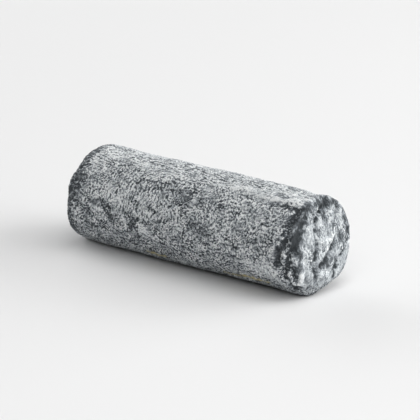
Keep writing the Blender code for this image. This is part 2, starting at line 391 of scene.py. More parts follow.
# Folds and ridges that the solid has too, and last its broad bumps and hollows. The far lower rim is pressed
# in a little more than the solid's.
FOLDS = marks(Place.FACE, (
    (((1.0, 18.5), (-2.0, 16.0), (-4.6, 14.0), (-5.6, 9.5)), 0.8, 1.3, -0.5),
    (((-8.0, 18.5), (-12.5, 15.8), (-16.5, 12.0), (-18.5, 8.5), (-21.0, 4.5)), 1.6, 1.3, -0.5),
    (((8.0, 1.0), (4.0, -2.0), (0.0, -5.0), (-4.5, -8.0)), 1.1, 1.5, -0.5),
    (((15.5, -5.0), (10.0, -7.5), (5.5, -11.0), (4.5, -15.0)), 0.9, 1.1, -0.45),
    (((-6.0, 4.0), (-7.0, -1.0), (-9.0, -5.0), (-9.3, -9.0), (-8.0, -13.5)), 1.0, 1.1, -0.4),
    (((10.5, 3.0), (14.0, 1.2), (19.0, -1.8)), 2.2, 1.0, -0.05),
    (((4.0, 21.0), (3.6, 16.5), (2.0, 10.5)), 1.5, 0.9, -0.1),
    (((12.5, 16.5), (11.3, 12.0), (8.6, 8.5)), 0.9, 0.7, -0.25),
    (((-15.0, -2.5), (-15.3, -8.0), (-14.0, -15.0)), 1.1, 0.8, 0.0),
    (((19.8, 6.4), (20.2, 2.0)), 1.1, 1.0, -0.6),
    (((-10.0, 13.0), (-10.5, 7.0), (-9.5, 2.5)), 2.0, -0.7, 0.1),
    (((7.2, 18.0), (6.5, 12.0)), 1.6, -0.7, 0.15),
    (((14.2, 14.5), (14.0, 7.0)), 1.7, -0.7, 0.15),
    (((-3.5, 4.0), (2.0, 2.0)), 2.2, -0.8, 0.15),
    (((-1.5, 13.0), (-2.5, 9.5)), 1.3, -0.6, 0.05),
    (((9.0, -2.5), (4.5, -6.5)), 1.6, -0.6, 0.0),
    (((-18.0, -6.0), (-17.5, -13.0)), 1.6, -0.6, 0.15),
    (((-4.0, -11.5), (0.5, -13.5), (8.5, -12.5)), 2.0, -0.6, 0.05),
)) + marks(Place.SIDE, (
    (((65.2, 34.0), (64.2, 46.0), (64.4, 58.0), (65.6, 68.0)), 2.0, 1.1, -0.1),
    (((65.0, 73.0), (61.6, 83.0), (61.0, 93.0), (63.2, 102.0)), 1.4, 1.3, -0.15),
    (((67.4, 82.0), (66.8, 91.0), (67.2, 99.0)), 1.1, 1.2, -0.15),
    (((65.2, 102.0), (63.8, 112.0), (64.2, 122.0), (66.0, 134.0)), 1.4, 1.3, -0.15),
    (((68.6, 103.0), (67.8, 113.0), (68.2, 123.0)), 1.0, 1.1, -0.15),
    (((66.0, 30.0), (66.6, 12.0), (66.2, -8.0), (66.8, -24.0)), 1.2, 0.6, -0.2),
    (((63.9, 80.0), (64.0, 90.0), (65.0, 99.0)), 1.2, -0.7, 0.0),
    (((66.6, 104.0), (66.0, 114.0), (66.4, 125.0)), 1.2, -0.7, 0.0),
    (((58.5, 96.0), (59.5, 108.0), (61.0, 122.0)), 2.4, -0.4, 0.0),
    (((22.0, 26.0), (34.0, 29.5), (46.0, 30.5), (56.0, 29.0), (63.0, 30.5)), 1.3, 0.6, 0.0),
    (((30.0, 21.5), (44.0, 23.5), (60.0, 22.0)), 2.6, -0.5, 0.08),
    (((-52.0, 80.0), (-46.5, 78.0)), 1.6, 0.5, -0.15),
    (((-42.0, 84.0), (-38.0, 93.0)), 2.0, 0.4, -0.15),
    (((-45.0, 89.0), (-43.0, 94.0)), 2.4, -0.3, 0.0),
    (((-8.0, 42.0), (-2.0, 50.0), (3.0, 58.0)), 4.0, 0.35, 0.0),
    (((13.0, 74.0), (20.0, 88.0)), 4.0, 0.35, -0.03),
    (((-27.0, 86.0), (-22.0, 110.0)), 2.4, 0.35, -0.12),
    (((-16.0, 92.0), (-13.0, 102.0)), 3.0, -0.3, 0.12),
    (((44.0, 112.0), (55.0, 106.0)), 5.0, -0.3, 0.1),
    (((-66.0, 60.0), (-66.0, 67.0)), 3.6, -0.8, 0.0),
    (((-65.5, 20.0), (-65.5, 26.0)), 3.0, -0.35, 0.0),
    (((-57.0, -28.0), (-54.0, -22.0)), 6.0, -0.45, 0.0),
    (((-67.8, 140.0), (-67.8, 148.0)), 4.0, 0.6, 0.0),
    (((-68.0, 108.0), (-68.0, 126.0)), 4.5, 0.2, 0.0),
    (((-67.0, 92.0), (-67.0, 86.0)), 4.0, 0.3, 0.0),
    (((-22.0, 156.0), (-18.0, 160.0)), 7.0, -0.35, 0.0),
    (((57.0, -30.0), (60.5, -16.0), (61.0, -4.0)), 3.2, 0.7, 0.0),
    (((69.0, 220.0), (69.0, 229.0)), 3.5, -0.4, 0.0),
    (((69.0, 202.0), (67.6, 184.0)), 4.0, 0.65, 0.0),
    (((66.0, 170.0), (65.6, 164.0)), 3.2, -0.6, 0.0),
))


# Thin patches of the coat, where the ash shows, and thick ones, where the bloom lies deep, and a few marks of
# painted shadow, shade and highlight.
STAINS_AND_PAINTED_LIGHT = marks(Place.SIDE, (
    (((-10.0, 47.0), (-3.0, 45.0), (3.0, 53.0)), 3.6, 0.0, -0.17),
    (((2.0, 15.0), (3.0, 31.0)), 2.2, 0.0, -0.13),
    (((8.0, 42.0), (15.0, 47.0), (22.0, 50.0)), 4.2, 0.0, -0.17),
    (((24.0, 52.0), (36.0, 64.0)), 6.0, 0.0, -0.05),
    (((12.0, 77.0), (15.0, 88.0), (20.0, 88.0)), 3.8, 0.0, -0.19),
    (((-25.5, 84.0), (-22.5, 110.0)), 1.9, 0.0, -0.12),
    (((-23.0, 88.0), (-17.0, 90.0)), 2.2, 0.0, -0.16),
    (((-12.0, 94.0), (-8.0, 110.0)), 3.0, 0.0, -0.1),
    (((-60.0, 86.0), (-56.0, 90.0)), 3.0, 0.0, -0.15),
    (((-51.0, 80.0), (-47.0, 77.5)), 1.5, 0.0, -0.28),
    (((-44.0, 75.0), (-40.0, 82.0)), 1.6, 0.0, -0.22),
    (((-52.0, 90.0), (-50.0, 96.0)), 1.4, 0.0, -0.2),
    (((-40.0, 86.0), (-37.0, 96.0)), 1.8, 0.0, -0.2),
    (((-47.0, 85.0), (-44.5, 87.0)), 1.6, 0.0, 0.12),
    (((-48.0, 70.0), (-42.0, 66.0)), 3.0, 0.0, 0.1),
    (((-34.0, 68.0), (-26.0, 70.0)), 4.0, 0.0, 0.06),
    (((-21.0, 98.0), (-15.0, 104.0)), 2.6, 0.0, 0.16),
    (((42.0, 100.0), (47.0, 112.0), (57.0, 106.0)), 5.0, 0.0, 0.12),
    (((45.0, 84.0), (44.5, 94.0), (48.0, 101.0)), 0.6, 0.0, -0.2),
    (((49.0, 85.0), (53.0, 90.0), (51.0, 97.0)), 2.0, 0.0, -0.1),
    (((-52.0, 10.0), (-39.0, 15.0)), 5.0, 0.0, 0.1),
    (((-65.0, -10.0), (-65.0, 16.0)), 2.6, 0.0, -0.34),
    (((-65.0, 16.0), (-64.0, 40.0), (-63.0, 58.0), (-64.0, 74.0)), 3.6, 0.0, -0.38),
    (((-65.5, 78.0), (-65.5, 100.0), (-66.0, 130.0)), 2.8, 0.0, -0.26),
    (((-60.0, 60.0), (-60.0, 74.0)), 2.6, 0.0, -0.15),
    (((-64.0, 50.0), (-58.0, 52.0)), 3.0, 0.0, -0.12),
    (((-57.0, 91.0), (-52.0, 93.0)), 2.6, 0.0, -0.12),
    (((-63.0, 12.0), (-61.0, 20.0)), 2.4, 0.0, 0.12),
    (((-17.5, 124.0), (-15.5, 126.0)), 2.2, 0.0, 0.12),
    (((59.0, 81.0), (61.0, 83.0)), 1.8, 0.0, 0.15),
    (((66.5, 11.0), (69.0, 19.0)), 2.0, 0.0, 0.15),
    (((67.5, 24.0), (70.5, 27.0)), 1.8, 0.0, -0.15),
    (((68.5, 86.0), (71.0, 91.0)), 2.0, 0.0, -0.2),
    (((45.0, 10.0), (53.0, 8.0), (62.0, 18.0)), 4.5, 0.0, 0.17),
    (((49.0, 16.0), (54.0, 19.0)), 1.8, 0.0, -0.4),
    (((34.0, 25.0), (46.0, 26.0), (60.0, 24.5)), 1.6, 0.0, 0.13),
    (((7.0, 23.0), (18.0, 21.0), (30.0, 23.0)), 2.2, 0.0, 0.09),
    # Painted shadow: the dark broken line under the ledge below the top, darkest towards the near end.
    (((20.0, 30.0), (32.0, 31.5)), 0.7, 0.0, -0.1),
    (((35.0, 30.0), (42.0, 31.5), (48.0, 33.0)), 1.0, 0.0, -0.22),
    (((50.0, 31.5), (55.0, 29.5), (60.0, 30.5), (64.0, 31.0)), 1.4, 0.0, -0.5),
    (((62.0, -10.0), (62.5, 0.0)), 1.6, 0.0, -0.25),
    (((-36.0, 49.0), (-20.0, 42.0), (-5.0, 37.5)), 0.5, 0.0, -0.4),
    (((-31.0, 45.0), (-12.0, 40.0)), 0.45, 0.0, -0.3),
    (((-36.0, 57.0), (-22.0, 52.5)), 0.45, 0.0, -0.35),
    (((-48.0, 111.0), (-28.0, 106.0)), 0.5, 0.0, -0.35),
    (((-10.0, 113.0), (15.0, 103.5)), 0.5, 0.0, -0.35),
    (((20.0, 108.0), (42.0, 103.5)), 0.5, 0.0, -0.33),
    (((65.8, 34.0), (65.6, 45.0), (65.8, 57.0), (66.0, 67.0)), 3.2, 0.0, -0.36),
    (((69.6, 33.0), (69.3, 45.0), (69.4, 58.0), (69.6, 72.0)), 2.2, 0.0, -0.36),
    (((63.0, 42.0), (62.0, 52.0)), 1.5, 0.0, -0.2),
    (((67.1, 31.0), (67.2, 45.0), (67.0, 58.0)), 0.7, -0.4, 0.35),
    (((63.2, 72.5), (63.0, 79.5)), 2.1, 0.3, -0.55),
    (((61.0, 85.0), (60.4, 92.0), (61.2, 99.0)), 2.1, 0.0, -0.65),
    (((66.9, 84.0), (66.9, 93.0), (67.1, 100.0)), 1.5, 0.0, -0.5),
    (((64.3, 84.0), (64.4, 95.0), (64.6, 105.0)), 0.9, 0.0, 0.2),
    (((66.6, 108.0), (66.5, 117.0), (66.7, 127.0)), 0.9, 0.0, 0.25),
    (((64.4, 101.0), (64.0, 109.0), (64.3, 117.0)), 1.4, 0.0, -0.5),
    (((68.4, 104.0), (68.4, 113.0), (68.6, 122.0)), 1.2, 0.0, -0.5),
    (((65.5, 122.0), (65.9, 129.0), (66.5, 136.0)), 1.6, 0.0, -0.45),
    # A painted highlight on a small bump of the near rim.
    (((68.2, 99.0), (68.6, 101.0)), 0.7, -0.3, 0.6),
)) + marks(Place.FACE, (
    (((0.5, 18.5), (-2.0, 16.0), (-4.5, 14.0), (-5.4, 12.0)), 0.9, 0.3, -0.6),
    (((-5.8, 10.3), (-5.8, 8.9)), 1.0, 0.3, -0.5),
    (((4.5, 18.5), (3.2, 16.5), (2.6, 14.5)), 1.6, 0.0, -0.35),
    (((-12.0, 15.8), (-15.0, 14.5), (-16.8, 12.0), (-18.0, 9.5), (-20.0, 7.5), (-21.0, 5.0)),
     2.3, 0.0, -0.55),
    (((-19.5, 3.0), (-17.5, 0.0), (-18.5, -6.0)), 1.9, 0.0, -0.42),
    (((7.0, 0.0), (4.0, -2.0), (1.0, -4.0), (-2.0, -6.0), (-4.5, -8.0)), 0.8, 0.0, -0.3),
    (((-2.0, -6.5), (2.0, -7.6), (5.0, -7.0)), 2.4, 0.0, -0.32),
    (((-9.5, -5.0), (-6.0, -8.0)), 1.8, 0.0, -0.25),
    (((12.5, 17.5), (16.6, 12.5)), 1.0, 0.0, -0.25),
    (((14.0, -5.5), (11.0, -7.0), (8.0, -9.0), (5.5, -10.5), (5.0, -12.0)), 1.0, 0.0, -0.42),
    (((-6.3, 2.5), (-7.0, -1.0), (-7.5, -3.0), (-9.0, -5.0), (-9.0, -8.0)), 1.1, 0.0, -0.35),
    (((12.6, 1.6), (14.4, 0.6), (15.8, -2.5)), 2.2, 0.0, -0.45),
    (((8.0, 8.9), (8.0, 8.1)), 1.1, 0.2, -0.4),
    (((11.5, 14.0), (11.0, 11.0)), 0.8, 0.0, -0.3),
    (((1.5, 19.5), (2.2, 15.5), (1.8, 11.0)), 1.4, 0.0, -0.32),
    # The dark band along the top rim of the folded end's face is partly bare ash and partly painted shade of
    # the rim.
    (((-20.0, 22.0), (-10.0, 20.6), (3.0, 20.0), (10.0, 18.5)), 1.6, 0.0, -0.45),
    (((3.0, 23.0), (9.0, 21.0), (13.0, 17.5)), 1.0, 0.0, -0.3),
    (((17.0, 10.0), (19.0, 7.5)), 1.6, 0.0, -0.35),
    (((19.2, 6.2), (19.6, 2.4)), 1.2, 0.0, -0.6),
    (((-13.0, -3.8), (-11.0, -4.2)), 0.7, 0.0, -0.3),
    (((-15.0, 13.0), (-11.0, 9.0), (-9.0, 4.0)), 2.4, 0.0, 0.12),
    (((-5.0, 13.0), (0.0, 11.0)), 2.0, 0.0, 0.1),
    (((6.5, 18.0), (6.2, 12.5)), 1.5, 0.0, 0.18),
    (((13.5, 13.0), (13.5, 7.0)), 1.5, 0.0, 0.18),
    (((-3.5, 3.5), (1.5, 1.5), (7.5, 4.0)), 1.8, 0.0, 0.15),
    (((-15.5, 0.0), (-15.0, -3.0)), 1.6, 0.0, 0.12),
    # A pale patch of bloom, made paler to lift the shade of the fold beside it: partly painted light.
    (((-17.0, -8.5), (-15.5, -14.0)), 2.4, 0.0, 0.38),
))


# Spots low on the side where the coat has come off; here the tone is the share of paste that shows.
BARE_SPOTS = marks(Place.SIDE, (
    (((-21.0, 134.0), (-16.0, 136.0), (-11.0, 135.0)), 1.1, 0.0, 0.9),
    (((26.0, 136.0), (34.0, 137.0)), 0.9, 0.0, 0.75),
    (((37.0, 131.5), (44.0, 133.5), (51.0, 133.5)), 1.1, 0.0, 0.85),
))


@dataclass(frozen=True)
class Gathers:
    """Folds of the plainer end, which start inside its rim and run towards its middle."""

    count: int = 13
    seed: int = 7
    spread: float = 0.3
    steps: int = 4
    widths: tuple[float, float] = (1.2, 2.0)
    depths: tuple[float, float] = (0.6, 1.2)
    outer_share: float = 0.97
    inner_shares: tuple[float, float] = (0.15, 0.6)
    turn: float = 22.0
    tone: float = -0.55

    def marks(self, form: LogForm) -> list[Mark]:
        """The folds, spread round the end by a rule with seeded draws.

        Args:
            form: The log's form.

        Returns:
            One mark for each fold.
        """
        draw = random.Random(self.seed)
        folds = []
        for number in range(self.count):
            degrees = 360 * (number + draw.uniform(-self.spread, self.spread)) / self.count
            bend = draw.uniform(-self.turn, self.turn)
            inner = draw.uniform(*self.inner_shares)
            path = []
            for share in np.linspace(self.outer_share, inner, self.steps):
                angle = np.radians(degrees + bend * (1 - share))
                radius = share * form.rim_of(form.far, angle)[1]
                path.append((-radius * np.sin(angle), radius * np.cos(angle)))
            width, depth = draw.uniform(*self.widths), draw.uniform(*self.depths)
            folds.append(Mark(Place.FAR_FACE, tuple(path), width, depth, self.tone))
        return folds


@dataclass(frozen=True)
class HiddenStains:
    """Stains of the back, spread by seeded draws and of the same kinds as those of the front."""

    seed: int = 19
    angles: tuple[float, float] = (-172.0, -40.0)
    half_length: float = 58.0
    turn: float = 7.0
    # Count, lengths, widths and tones of the blotches, the pale patches, the dark spots and the fine creases.
    kinds: tuple[tuple[int, tuple[float, float], tuple[float, float], tuple[float, float]], ...] = (
        (14, (4.0, 16.0), (2.5, 5.5), (-0.22, -0.12)),
        (9, (6.0, 18.0), (2.5, 5.5), (0.08, 0.16)),
        (12, (1.0, 5.0), (1.0, 2.0), (-0.38, -0.2)),
        (9, (15.0, 32.0), (0.45, 0.6), (-0.42, -0.3)),
    )
    # x, width and tone of each dark rim, and the lengths of its stains and of the gaps between, in degrees.
    rims: tuple[tuple[float, float, float], ...] = ((65.4, 2.6, -0.4), (-65.3, 2.8, -0.36))
    rim_runs: tuple[float, float] = (14.0, 34.0)
    rim_gaps: tuple[float, float] = (1.0, 8.0)
    rim_stray: float = 0.8
    rim_shares: tuple[float, float] = (0.7, 1.2)

    def marks(self) -> list[Mark]:
        """The stains of the back and of its rims.

        Returns:
            One mark for each stain.
        """
        draw = random.Random(self.seed)
        stains = []
        for count, lengths, widths, tones in self.kinds:
            for _ in range(count):
                x, angle = draw.uniform(-self.half_length, self.half_length), draw.uniform(*self.angles)
                run, turn = draw.uniform(*lengths) / 2, draw.uniform(-self.turn, self.turn)
                path = ((x - run, angle - turn), (x + run, angle + turn))
                stains.append(Mark(Place.SIDE, path, draw.uniform(*widths), 0.0, draw.uniform(*tones)))
        for x, width, tone in self.rims:
            angle = self.angles[1]
            while angle > self.angles[0]:
                run = draw.uniform(*self.rim_runs)
                start, stop = (x + draw.uniform(-self.rim_stray, self.rim_stray) for _ in range(2))
                path = ((start, angle), (stop, angle - run))
                share = draw.uniform(*self.rim_shares)
                stains.append(Mark(Place.SIDE, path, width * share, 0.0, tone * share))
                angle -= run + draw.uniform(*self.rim_gaps)
        return stains


@dataclass(frozen=True)
class Mottle:
    """Soft random unevenness made of many crossing waves."""

    size: float
    seed: int
    waves: int = 48
    sizes: tuple[float, float] = (0.7, 1.6)

    def at(self, points: np.ndarray, stretch: tuple[float, float, float] = (1, 1, 1)) -> np.ndarray:
        """Value of the unevenness.

        Args:
            points: Places in millimetres.
            stretch: How much longer its patches are along x, y and z.

        Returns:
            Values that spread about 0 by about 1.
        """
        draw = np.random.default_rng(self.seed)
        heading = draw.normal(size=(self.waves, 3))
        heading /= np.linalg.norm(heading, axis=1, keepdims=True)
        pitch = 2 * np.pi / (self.size * draw.uniform(*self.sizes, self.waves))
        phase = draw.uniform(0, 2 * np.pi, self.waves)
        turns = (points / np.array(stretch)) @ (heading * pitch[:, None]).T + phase
        return np.cos(turns).sum(axis=1) * np.sqrt(2 / self.waves)


@dataclass
class Zones:
    """How far each point of the skin belongs to the parts that differ in wrinkles, coat or painted shade,
    from 0 to 1.

    A fade says where a part starts and where it is full.
    """

    form: LogForm
    points: np.ndarray
    # How far out each face starts, along the axis and with its lean taken off.
    near_fade: tuple[float, float] = (67.2, 69.4)
    far_fade: tuple[float, float] = (67.6, 69.4)
    # Degrees from the top, negative so that the share grows towards it.
    top_fade: tuple[float, float] = (-42.0, -12.0)
    # x of the smoother stretch by the near end.
    right_fade: tuple[float, float] = (18.0, 45.0)
    # y behind the top.
    back_fade: tuple[float, float] = (2.0, 10.0)
    hidden_fade: tuple[float, float] = (9.5, 20.0)
    # Degrees from the top.
    low_fade: tuple[float, float] = (88.0, 140.0)
    worn_fade: tuple[float, float] = (100.0, 125.0)
    # x and angle of the patch where wrinkles run round the log, and its half width in each.
    ringed_place: tuple[float, float] = (-24.0, 64.0)
    ringed_size: tuple[float, float] = (15.0, 20.0)
    # Angle and half width of the pale band below the top.
    pale_place: float = 24.0
    pale_size: float = 16.0
    near_face: np.ndarray = field(init=False)
    face: np.ndarray = field(init=False)
    side: np.ndarray = field(init=False)
    top: np.ndarray = field(init=False)
    right: np.ndarray = field(init=False)
    back: np.ndarray = field(init=False)
    hidden: np.ndarray = field(init=False)
    low: np.ndarray = field(init=False)
    worn: np.ndarray = field(init=False)
    pale: np.ndarray = field(init=False)
    ringed: np.ndarray = field(init=False)

    def __post_init__(self) -> None:
        """Works out the shares."""
        x, y, z = self.points.T
        near, far = self.form.near, self.form.far
        angle = np.degrees(np.arctan2(-y, z))
        below = np.abs(angle)
        self.near_face = smooth_step(x - near.slope_z * z, *self.near_fade)
        far_face = smooth_step(-x + far.slope_z * z + far.slope_y * y, *self.far_fade)
        self.face = np.maximum(self.near_face, far_face)
        self.side = 1 - self.face
        self.top = smooth_step(-below, *self.top_fade)
        self.right = smooth_step(x, *self.right_fade)
        self.back = smooth_step(y, *self.back_fade) * self.side
        self.hidden = smooth_step(y, *self.hidden_fade) * self.side
        self.low = smooth_step(below, *self.low_fade) * self.side
        self.worn = smooth_step(below, *self.worn_fade)
        self.pale = np.exp(-(((angle - self.pale_place) / self.pale_size) ** 2)) * self.side
        sideways = ((x - self.ringed_place[0]) / self.ringed_size[0]) ** 2
        self.ringed = np.exp(-sideways - ((angle - self.ringed_place[1]) / self.ringed_size[1]) ** 2)


@dataclass
class Wrinkles:
    """Worm-like wrinkles of a mould-ripened rind, grown as ridges that keep a rough spacing."""

    grid: SkinGrid
    steps: int = 16
    # Weights of the sides and of the diagonals of the grid's faces.
    side_share: float = 2 / 3
    diagonal_share: float = 1 / 3
    # Seed and spread of the random start.
    seed: int = 21
    start: float = 0.6
    # The pace that keeps the growth steady, and the greatest one.
    steady_pace: float = 1.6
    most_pace: float = 0.25
    # Such wrinkles lie 2 to 3 mm apart.
    pitch: float = 2.0
    pitch_spread: float = 0.4
    pitch_range: tuple[float, float] = (1.5, 3.0)
    drive: float = 0.8
    drive_spread: float = 0.15
    right_pits: float = -0.5
    pits_spread: float = 0.35
    # How strongly the wrinkles run along the top, elsewhere along the log, and round the ringed patch.
    top_pull: float = 1.3
    along_spread: float = 0.25
    ring_pull: float = 2.0
    ring_slant: float = 0.25
    # Lie on the faces: across, how much less so higher up, and upright.
    face_across: float = 0.35
    face_turn: float = 0.03
    face_upright: float = 1.2
    uneven_lie: Mottle = Mottle(12.0, 41)
    uneven_pitch: Mottle = Mottle(7.0, 44)
    uneven_drive: Mottle = Mottle(9.0, 42)
    uneven_pits: Mottle = Mottle(12.0, 43)

    def on_rind(self, zones: Zones) -> np.ndarray:
        """Grows the wrinkles with the spacing and lie that each part of the rind has.

        Args:
            zones: Parts of the skin.

        Returns:
            Height of the wrinkles at each point, about -1 to 1.
        """
        points = self.grid.points
        x, y, z = points.T
        along = (self.top_pull * zones.top + self.along_spread * self.uneven_lie.at(points)) * zones.side
        across = zones.face * (self.face_across - self.face_turn * z)
        lie = np.stack([along, across, zones.face * self.face_upright], axis=1)
        slant = np.full_like(x, self.ring_slant)
        ring = np.stack([slant, z / zones.form.radius, -y / zones.form.radius], axis=1)
        lie += (self.ring_pull * zones.ringed * zones.side)[:, None] * ring
        pitch = np.clip(self.pitch + self.pitch_spread * self.uneven_pitch.at(points), *self.pitch_range)
        drive = self.drive + self.drive_spread * self.uneven_drive.at(points)
        pits = self.right_pits * zones.right + self.pits_spread * self.uneven_pits.at(points)
        return self.grow(pitch, drive, pits, lie)

    def links(self) -> tuple[np.ndarray, np.ndarray, np.ndarray]:
        """Neighbouring points and how strongly each pair pulls on the other.

        Returns:
            The first points, the second points and the weights of the pairs.
        """
        quads, points = self.grid.quads, self.grid.points
        sides = np.concatenate([quads[:, [0, 1]], quads[:, [1, 2]], quads[:, [2, 3]], quads[:, [3, 0]]])
        sides = np.unique(np.sort(sides, axis=1), axis=0)
        diagonals = np.concatenate([quads[:, [0, 2]], quads[:, [1, 3]]])
        first, second = np.concatenate([sides, diagonals]).T
        share = np.repeat([self.side_share, self.diagonal_share], [len(sides), len(diagonals)])
        return first, second, share / ((points[first] - points[second]) ** 2).sum(axis=1)

    def grow(self, pitch: np.ndarray, drive: np.ndarray, pits: np.ndarray, lie: np.ndarray) -> np.ndarray:
        """Grows the wrinkles from a random start.

        Args:
            pitch: Spacing of the wrinkles at each point in millimetres.
            drive: How strongly wrinkles form at each point, from 0 to 1.
            pits: Above 0 the pattern turns into separate knobs, below 0 into separate pits.
            lie: Direction in which the wrinkles tend to run at each point, longer where they do so more.

        Returns:
            Height of the wrinkles at each point, about -1 to 1.
        """
        points, count = self.grid.points, len(self.grid.points)
        first, second, weight = self.links()
        run = points[second] - points[first]
        way = (lie[first] + lie[second]) / 2
        pull_along = np.linalg.norm(way, axis=1) + 1e-9
        heading = 2 * (run * way).sum(axis=1) ** 2 / ((run**2).sum(axis=1) * pull_along**2) - 1
        combing = weight * np.maximum(heading, 0.0) * pull_along
        wave = (2 * np.pi / pitch) ** 2
        pull = (np.bincount(first, weight, count) + np.bincount(second, weight, count)) / wave
        pace = np.minimum(self.steady_pace / (2 * pull - 1) ** 2, self.most_pace)
        height = np.random.default_rng(self.seed).normal(scale=self.start, size=count)

        def spread(values: np.ndarray, shares: np.ndarray) -> np.ndarray:
            """What each point gains from its neighbours."""
            flow = shares * (values[second] - values[first])
            return (np.bincount(first, flow, count) - np.bincount(second, flow, count)) / wave

        for _ in range(self.steps):
            bent = height + spread(height, weight)
            growth = drive * height - bent - spread(bent, weight) + spread(height, combing)
            growth += pits * height**2 - height**3
            height = height + pace * growth
        return height / height.std()


def add_node(tree: bpy.types.NodeTree, kind: str, settings: dict | None = None,
             inputs: dict | None = None) -> bpy.types.Node:
    """Adds a node, sets it and links it.

    Args:
        tree: Node tree that gets the node.
        kind: Blender's name of the node's type.
        settings: Attributes of the node.
        inputs: Values for the node's inputs, or sockets to link to them.

    Returns:
        The node.
    """
    node = tree.nodes.new(kind)
    for name, value in (settings or {}).items():
        setattr(node, name, value)
    for name, value in (inputs or {}).items():
        if isinstance(value, bpy.types.NodeSocket):
            tree.links.new(value, node.inputs[name])
        else:
            node.inputs[name].default_value = value
    return node


def new_material(name: str) -> tuple[bpy.types.Material, bpy.types.NodeTree, bpy.types.Node]:
    """Makes a material whose tree holds only its output.

    Args:
        name: Name of the material.

    Returns:
        The material, its node tree and the output node.
    """
    material = bpy.data.materials.new(name)
    material.use_nodes = True
    tree = material.node_tree
    tree.nodes.clear()
    return material, tree, add_node(tree, "ShaderNodeOutputMaterial")


@dataclass(frozen=True)
class AshRind:
    """Vegetable ash dusted on the paste and overgrown by mould, which ripened into a wrinkled skin.

    It is dry and matt: dark ash in the wrinkles, and a pale and powdery bloom on their crests.
    """

    # Tone 0 is bare ash and tone 1 the thickest bloom.
    ash: str = "#34383B"
    thin_ash: str = "#595E62"
    thin_bloom: str = "#8B9094"
    bloom: str = "#BBC0C3"
    thick_bloom: str = "#E6E8E8"
    # Bare paste that the ash has left, seen at the underside.
    paste: str = "#C2B585"
    roughness: float = 0.92
    specular: float = 0.25
    # The finest hairs of the mould catch a little light at the edges.
    sheen: float = 0.05
    sheen_roughness: float = 0.6
    # Wrinkle height at which the ash ends and at which the bloom is full.
    ash_line: float = -0.62
    bloom_line: float = -0.02
    bloom_share: float = 0.62
    # Crumbs and powder are finer than half a millimetre, so they are drawn at the least size that shows.
    crumb_mm: float = 1.3
    crumb_step: float = 3.6
    powder_mm: float = 0.7
    powder_tone: float = 2.9
    grain: float = 0.6
    relief_mm: float = 0.12

    def material(self) -> bpy.types.Material:
        """Makes the finish.

        Returns:
            The material, which reads the mesh's own tone, wrinkle height, contrast and share of paste.
        """
        material, tree, output = new_material("ash_rind")
        place = add_node(tree, "ShaderNodeTexCoord").outputs["Object"]
        tone, crest, contrast, paste = (
            add_node(tree, "ShaderNodeAttribute", {"attribute_name": name}).outputs["Fac"]
            for name in ("tone", "crest", "contrast", "paste"))

        def noise(size_mm: float, detail: float) -> bpy.types.NodeSocket:
            """Even noise that spreads about nothing."""
            value = add_node(tree, "ShaderNodeTexNoise", None, {
                "Vector": place, "Scale": 1 / (size_mm * MM), "Detail": detail,
                "Roughness": self.grain}).outputs["Fac"]
            return math("SUBTRACT", value, 0.5)

        def math(operation: str, *values: bpy.types.NodeSocket | float) -> bpy.types.NodeSocket:
            """One step of arithmetic."""
            node = add_node(tree, "ShaderNodeMath", {"operation": operation}, dict(enumerate(values)))
            return node.outputs[0]

        height = math("MULTIPLY_ADD", noise(self.crumb_mm, 1.0), self.crumb_step, crest)
        bloomed = add_node(tree, "ShaderNodeMapRange", {"interpolation_type": "SMOOTHSTEP"}, {
            "Value": height, "From Min": self.ash_line, "From Max": self.bloom_line}).outputs["Result"]
        shade = math("SUBTRACT", bloomed, self.bloom_share)
        powder = math("MULTIPLY", noise(self.powder_mm, 0.0), self.powder_tone)
        shown = math("ADD", math("MULTIPLY_ADD", shade, contrast, tone), math("MULTIPLY", powder, contrast))
        ramp = add_node(tree, "ShaderNodeValToRGB", None, {"Fac": shown})
        stops = (self.ash, self.thin_ash, self.thin_bloom, self.bloom, self.thick_bloom)
        while len(ramp.color_ramp.elements) < len(stops):
            ramp.color_ramp.elements.new(0.5)
        for number, color in enumerate(stops):
            element = ramp.color_ramp.elements[number]
            element.position = number / (len(stops) - 1)
            element.color = linear(color)
        # A colour mix has its two colours at sockets 6 and 7 and gives the mixed one at 2.
        base = add_node(tree, "ShaderNodeMix", {"data_type": "RGBA"}, {
            "Factor": paste, 6: ramp.outputs["Color"], 7: linear(self.paste)}).outputs[2]
        bump = add_node(tree, "ShaderNodeBump", None, {
            "Height": bloomed, "Distance": self.relief_mm * MM, "Strength": 1.0}).outputs["Normal"]
        shader = add_node(tree, "ShaderNodeBsdfPrincipled", None, {
            "Base Color": base, "Normal": bump, "Roughness": self.roughness,
            "Specular IOR Level": self.specular, "Sheen Weight": self.sheen,
            "Sheen Roughness": self.sheen_roughness})
        tree.links.new(shader.outputs["BSDF"], output.inputs["Surface"])
        return material


@dataclass(frozen=True)
class Crumple:
    """Small random creases of the folded skin on the faces."""

    stretch: tuple[float, float, float] = (1.0, 0.8, 1.8)
    fine_stretch: tuple[float, float, float] = (1.0, 1.0, 1.6)
    patch_stretch: tuple[float, float, float] = (1.0, 0.8, 2.0)
    fine_share: float = 0.4
    line: float = 0.16
    depth: float = 0.15
    swell: float = 0.1
    tone: float = 0.1
    patch_tone: float = 0.05
    creases: Mottle = Mottle(9.0, 51)
    fine_creases: Mottle = Mottle(3.5, 52)
    swells: Mottle = Mottle(5.0, 53)
    patches: Mottle = Mottle(4.0, 54)

    def at(self, points: np.ndarray, face: np.ndarray) -> tuple[np.ndarray, np.ndarray]:
        """Depth and tone of the creases, which lie where slow unevenness passes through nothing.

        Args:
            points: Points of the skin.
            face: Share of each point that belongs to a face.

        Returns:
            What the creases add to the depth and to the tone.
        """
        uneven = self.creases.at(points, self.stretch)
        uneven = uneven + self.fine_share * self.fine_creases.at(points, self.fine_stretch)
        creased = face * np.exp(-((uneven / self.line) ** 2))
        depth = self.depth * creased - self.swell * face * self.swells.at(points, self.stretch)
        tone = face * self.patch_tone * self.patches.at(points, self.patch_stretch) - self.tone * creased
        return depth, tone


